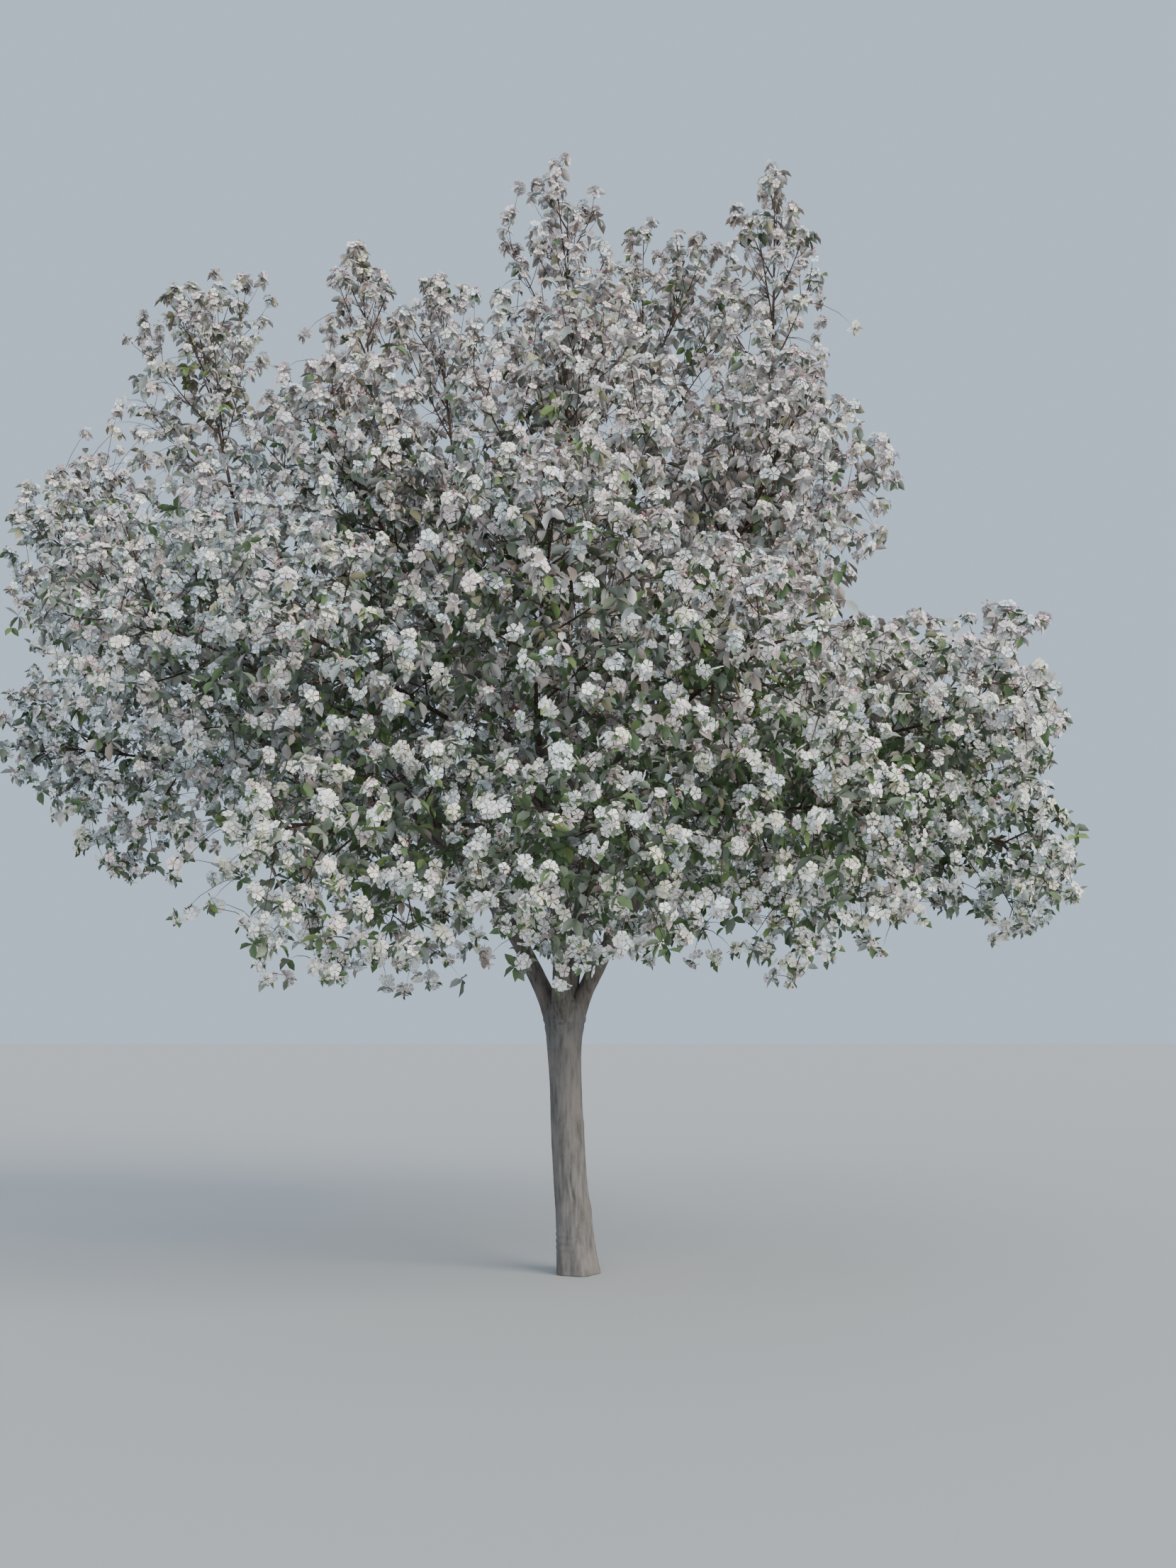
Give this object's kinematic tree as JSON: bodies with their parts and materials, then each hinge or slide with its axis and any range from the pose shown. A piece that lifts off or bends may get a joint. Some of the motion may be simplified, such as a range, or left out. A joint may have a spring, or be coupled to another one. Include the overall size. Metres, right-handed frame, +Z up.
{
  "type": "white blossom tree",
  "caption": "Medium-size garden tree in full white blossom: a leaning trunk, boughs that fork at shoulder height, and flowering masses of twigs over a broad crown with upright leaders.",
  "frame": {"origin": "centre of the flat cut under the trunk, at ground level", "axes": "+Z up, +X to the right and -Y towards the viewer of the tree's front"},
  "size_m": [6.3163, 5.214, 6.4814],
  "materials": {
    "trunk_bark": "rough grey-brown bark",
    "bough_bark": "rough dark grey-brown bark",
    "limb_bark": "smooth dark brown bark",
    "blossom": "matt white petals and grey-green leaves"
  },
  "bodies": {
    "root": {"trunk": "trunk_bark", "bough_back": "bough_bark", "bough_centre": "bough_bark", "bough_front": "bough_bark", "bough_left": "bough_bark", "bough_right": "bough_bark", "limb_back_left": "limb_bark", "limb_back_left_shoulder": "limb_bark", "limb_back_right": "limb_bark", "limb_back_right_shoulder": "limb_bark", "limb_back_skirt": "limb_bark", "limb_far_left": "limb_bark", "limb_front_left_shoulder": "limb_bark", "limb_front_left_skirt": "limb_bark", "limb_front_left_waist": "limb_bark", "limb_front_right_shoulder": "limb_bark", "limb_front_right_skirt": "limb_bark", "limb_front_right_waist": "limb_bark", "limb_front_shoulder": "limb_bark", "limb_front_skirt": "limb_bark", "limb_front_waist_left": "limb_bark", "limb_front_waist_right": "limb_bark", "limb_left_leader": "limb_bark", "limb_left_skirt": "limb_bark", "limb_middle_leader": "limb_bark", "limb_right_leader": "limb_bark", "limb_right_shoulder": "limb_bark", "limb_right_skirt": "limb_bark", "limb_top_left": "limb_bark", "limb_tower": "limb_bark", "blossom_back_left": "blossom", "blossom_back_left_shoulder": "blossom", "blossom_back_right": "blossom", "blossom_back_right_shoulder": "blossom", "blossom_back_skirt": "blossom", "blossom_back_waist": "blossom", "blossom_far_left": "blossom", "blossom_front_left_shoulder": "blossom", "blossom_front_left_skirt": "blossom", "blossom_front_left_waist": "blossom", "blossom_front_right_shoulder": "blossom", "blossom_front_right_skirt": "blossom", "blossom_front_right_waist": "blossom", "blossom_front_shoulder": "blossom", "blossom_front_skirt": "blossom", "blossom_front_waist": "blossom", "blossom_front_waist_left": "blossom", "blossom_front_waist_right": "blossom", "blossom_left_leader": "blossom", "blossom_left_skirt": "blossom", "blossom_left_waist": "blossom", "blossom_middle_leader": "blossom", "blossom_right_leader": "blossom", "blossom_right_shoulder": "blossom", "blossom_right_skirt": "blossom", "blossom_right_waist": "blossom", "blossom_top_left": "blossom", "blossom_top_middle": "blossom", "blossom_tower": "blossom"}
  },
  "joints": []
}
